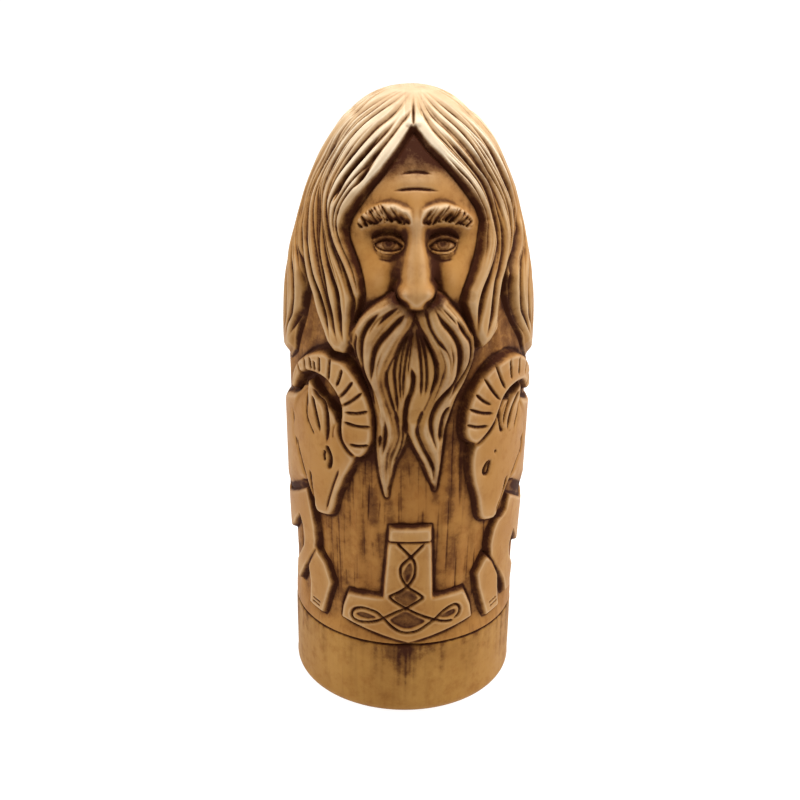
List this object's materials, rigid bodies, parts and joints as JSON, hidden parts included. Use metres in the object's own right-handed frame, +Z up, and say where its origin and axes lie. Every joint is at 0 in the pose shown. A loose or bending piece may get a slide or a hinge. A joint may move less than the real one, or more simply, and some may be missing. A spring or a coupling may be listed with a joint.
{
  "type": "norse god figurine",
  "caption": "Log-shaped carved idol with a long-haired, bearded head, rams on both sides and a hammer relief, standing on a round plinth.",
  "frame": {"origin": "centre of the plinth's flat underside", "axes": "+Z up along the log, -Y is the front, where the face looks, +X is the right-hand side seen from the front"},
  "size_m": [0.0556, 0.0555, 0.14],
  "materials": {
    "carved_wood": "carved, stained tan with dark brown wash in the cuts, satin",
    "hair_wood": "carved strands, pale tan rubbed on the high spots, dark brown wash in the grooves, satin",
    "ground_wood": "gouged ground, mid brown with dark vertical streaks, satin",
    "plinth_wood": "turned smooth, tan with faint upright grain, satin"
  },
  "bodies": {
    "root": {"plinth": "plinth_wood", "log": "ground_wood", "face": "carved_wood", "brow_left": "carved_wood", "brow_right": "carved_wood", "eye_left": "carved_wood", "eye_right": "carved_wood", "hair_left_front": "hair_wood", "hair_right_front": "hair_wood", "hair_left_side": "hair_wood", "hair_right_side": "hair_wood", "hair_back": "hair_wood", "moustache_left": "hair_wood", "moustache_right": "hair_wood", "beard_chin": "hair_wood", "beard_lock_left": "hair_wood", "beard_lock_right": "hair_wood", "hammer_cap": "carved_wood", "hammer_handle": "carved_wood", "hammer_head": "carved_wood", "ram_left_horn": "carved_wood", "ram_left_ear": "carved_wood", "ram_left_head": "carved_wood", "ram_left_flank": "carved_wood", "ram_left_bent_foreleg": "carved_wood", "ram_left_straight_foreleg": "carved_wood", "ram_left_thigh": "carved_wood", "ram_left_haunch": "carved_wood", "ram_left_tail": "carved_wood", "ram_right_horn": "carved_wood", "ram_right_ear": "carved_wood", "ram_right_head": "carved_wood", "ram_right_flank": "carved_wood", "ram_right_bent_foreleg": "carved_wood", "ram_right_straight_foreleg": "carved_wood", "ram_right_thigh": "carved_wood", "ram_right_haunch": "carved_wood", "ram_right_tail": "carved_wood"}
  },
  "joints": []
}
